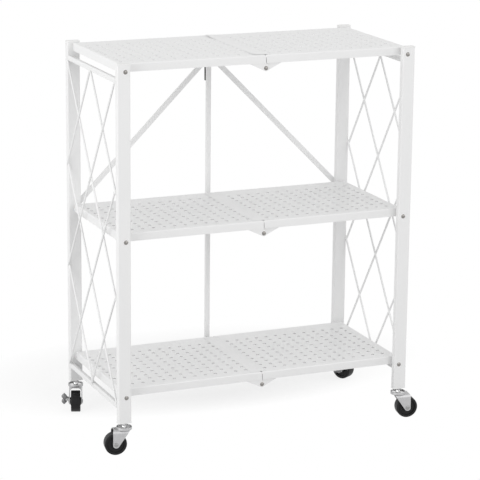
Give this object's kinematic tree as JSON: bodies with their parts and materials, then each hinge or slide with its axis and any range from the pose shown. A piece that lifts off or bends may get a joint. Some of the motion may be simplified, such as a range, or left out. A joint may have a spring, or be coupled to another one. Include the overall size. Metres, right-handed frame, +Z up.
{
  "type": "folding shelf rack",
  "caption": "Folding shelf rack on swivel casters: perforated shelves hinged across the middle between lattice end frames, with a rear slider linkage.",
  "frame": {"origin": "on the floor, under the middle of the rack", "axes": "+X to the rack's right as seen from the front, +Y to the back, where the lift bar and braces are, +Z up"},
  "size_m": [0.7714, 0.3792, 0.875],
  "materials": {
    "white_coat": "satin white powder coat",
    "white_plastic": "moulded white plastic",
    "zinc": "bright zinc plate",
    "dark_rivet": "dark nickel plate",
    "nylon": "natural nylon",
    "black_wheel": "moulded black wheel, slight sheen",
    "black_block": "moulded black plastic",
    "grey_lever": "moulded mid grey plastic"
  },
  "bodies": {
    "left_frame": {"left_front_post": "white_coat", "left_rear_post": "white_coat", "left_crossbars": "white_coat", "left_wires_fore": "white_coat", "left_wires_aft": "white_coat", "left_post_caps": "white_plastic", "left_caster_inserts": "white_plastic", "left_caster_stems": "zinc", "left_pivot_rivets": "dark_rivet", "left_pivot_washers": "nylon"},
    "right_frame": {"right_front_post": "white_coat", "right_rear_post": "white_coat", "right_crossbars": "white_coat", "right_wires_fore": "white_coat", "right_wires_aft": "white_coat", "right_post_caps": "white_plastic", "right_caster_inserts": "white_plastic", "right_caster_stems": "zinc", "right_pivot_rivets": "dark_rivet", "right_pivot_washers": "nylon"},
    "top_left": {"top_left_shelf": "white_coat", "top_left_hinge_plates": "white_coat", "top_hinge_rivets": "dark_rivet"},
    "top_right": {"top_right_shelf": "white_coat", "top_right_hinge_plates": "white_coat"},
    "mid_left": {"mid_left_shelf": "white_coat", "mid_left_hinge_plates": "white_coat", "mid_hinge_rivets": "dark_rivet"},
    "mid_right": {"mid_right_shelf": "white_coat", "mid_right_hinge_plates": "white_coat"},
    "bottom_left": {"bottom_left_shelf": "white_coat", "bottom_left_hinge_plates": "white_coat", "bottom_hinge_rivets": "dark_rivet"},
    "bottom_right": {"bottom_right_shelf": "white_coat", "bottom_right_hinge_plates": "white_coat"},
    "lift_bar": {"lift_bar": "white_coat", "lift_bar_spacers": "zinc"},
    "slider": {"slider_bracket": "white_coat", "slider_block": "black_block"},
    "left_brace": {"left_brace": "white_coat", "left_brace_stud": "dark_rivet"},
    "right_brace": {"right_brace": "white_coat", "right_brace_stud": "dark_rivet"},
    "front_left_fork": {"front_left_fork": "zinc", "front_left_axle": "dark_rivet"},
    "front_left_wheel": {"front_left_wheel": "black_wheel"},
    "front_right_fork": {"front_right_fork": "zinc", "front_right_axle": "dark_rivet"},
    "front_right_wheel": {"front_right_wheel": "black_wheel"},
    "rear_left_brake": {"rear_left_brake_lever": "grey_lever"},
    "rear_left_fork": {"rear_left_fork": "zinc", "rear_left_axle": "dark_rivet", "rear_left_brake_pin": "zinc"},
    "rear_left_wheel": {"rear_left_wheel": "black_wheel"},
    "rear_right_brake": {"rear_right_brake_lever": "grey_lever"},
    "rear_right_fork": {"rear_right_fork": "zinc", "rear_right_axle": "dark_rivet", "rear_right_brake_pin": "zinc"},
    "rear_right_wheel": {"rear_right_wheel": "black_wheel"}
  },
  "joints": [
    {"name": "fold", "type": "hinge", "parent": "left_frame", "child": "mid_left", "pos_m": [-0.3365, 0, 0.484], "axis": [0, -1, 0], "range_deg": [0, 84]},
    {"name": "top_left_fold", "type": "hinge", "parent": "left_frame", "child": "top_left", "pos_m": [-0.3365, 0, 0.8575], "axis": [0, -1, 0], "range_deg": [0, 84]},
    {"name": "bottom_left_fold", "type": "hinge", "parent": "left_frame", "child": "bottom_left", "pos_m": [-0.3365, 0, 0.13], "axis": [0, -1, 0], "range_deg": [0, 84]},
    {"name": "top_seam", "type": "hinge", "parent": "top_left", "child": "top_right", "pos_m": [0, 0, 0.8425], "axis": [0, 1, 0], "range_deg": [0, 168]},
    {"name": "mid_seam", "type": "hinge", "parent": "mid_left", "child": "mid_right", "pos_m": [0, 0, 0.469], "axis": [0, 1, 0], "range_deg": [0, 168]},
    {"name": "bottom_seam", "type": "hinge", "parent": "bottom_left", "child": "bottom_right", "pos_m": [0, 0, 0.115], "axis": [0, 1, 0], "range_deg": [0, 168]},
    {"name": "right_frame_pivot", "type": "hinge", "parent": "mid_right", "child": "right_frame", "pos_m": [0.3365, 0, 0.484], "axis": [0, -1, 0], "range_deg": [0, 84]},
    {"name": "lift_bar_pivot", "type": "hinge", "parent": "mid_left", "child": "lift_bar", "pos_m": [0, 0, 0.469], "axis": [0, 1, 0], "range_deg": [0, 84]},
    {"name": "left_brace_swing", "type": "hinge", "parent": "left_frame", "child": "left_brace", "pos_m": [-0.3365, 0.175, 0.484], "axis": [0, -1, 0], "range_deg": [0, 39.9]},
    {"name": "right_brace_swing", "type": "hinge", "parent": "right_frame", "child": "right_brace", "pos_m": [0.3365, 0.175, 0.484], "axis": [0, 1, 0], "range_deg": [0, 39.9]},
    {"name": "slider_travel", "type": "slide", "parent": "lift_bar", "child": "slider", "axis": [0, 0, -1], "range_m": [0, 0.2145]},
    {"name": "front_left_swivel", "type": "hinge", "parent": "left_frame", "child": "front_left_fork", "pos_m": [-0.34, -0.165, 0.058], "axis": [0, 0, 1], "continuous": true},
    {"name": "front_left_roll", "type": "hinge", "parent": "front_left_fork", "child": "front_left_wheel", "pos_m": [-0.3597, -0.16153, 0.025], "axis": [0.1736, 0.9848, 0], "continuous": true},
    {"name": "front_right_swivel", "type": "hinge", "parent": "right_frame", "child": "front_right_fork", "pos_m": [0.34, -0.165, 0.058], "axis": [0, 0, 1], "continuous": true},
    {"name": "front_right_roll", "type": "hinge", "parent": "front_right_fork", "child": "front_right_wheel", "pos_m": [0.3597, -0.16847, 0.025], "axis": [-0.1736, -0.9848, 0], "continuous": true},
    {"name": "rear_left_swivel", "type": "hinge", "parent": "left_frame", "child": "rear_left_fork", "pos_m": [-0.34, 0.165, 0.058], "axis": [0, 0, 1], "continuous": true},
    {"name": "rear_left_roll", "type": "hinge", "parent": "rear_left_fork", "child": "rear_left_wheel", "pos_m": [-0.34668, 0.14615, 0.025], "axis": [-0.9426, 0.3338, 0], "continuous": true},
    {"name": "rear_left_brake_press", "type": "hinge", "parent": "rear_left_fork", "child": "rear_left_brake", "pos_m": [-0.36628, 0.15309, 0.031], "axis": [-0.3338, -0.9426, 0], "range_deg": [0, 22]},
    {"name": "rear_right_swivel", "type": "hinge", "parent": "right_frame", "child": "rear_right_fork", "pos_m": [0.34, 0.165, 0.058], "axis": [0, 0, 1], "continuous": true},
    {"name": "rear_right_roll", "type": "hinge", "parent": "rear_right_fork", "child": "rear_right_wheel", "pos_m": [0.35, 0.14768, 0.025], "axis": [-0.866, -0.5, 0], "continuous": true},
    {"name": "rear_right_brake_press", "type": "hinge", "parent": "rear_right_fork", "child": "rear_right_brake", "pos_m": [0.33199, 0.13728, 0.031], "axis": [0.5, -0.866, 0], "range_deg": [0, 22]}
  ],
  "couplings": [
    {"joint": "top_left_fold", "follows": "fold", "ratio": 1},
    {"joint": "bottom_left_fold", "follows": "fold", "ratio": 1},
    {"joint": "top_seam", "follows": "fold", "ratio": 2},
    {"joint": "mid_seam", "follows": "fold", "ratio": 2},
    {"joint": "bottom_seam", "follows": "fold", "ratio": 2},
    {"joint": "right_frame_pivot", "follows": "fold", "ratio": 1},
    {"joint": "lift_bar_pivot", "follows": "fold", "ratio": 1},
    {"joint": "left_brace_swing", "follows": "fold", "ratio": 0.47464},
    {"joint": "right_brace_swing", "follows": "fold", "ratio": 0.47464},
    {"joint": "slider_travel", "follows": "fold", "m_per_rad": 0.14624}
  ]
}
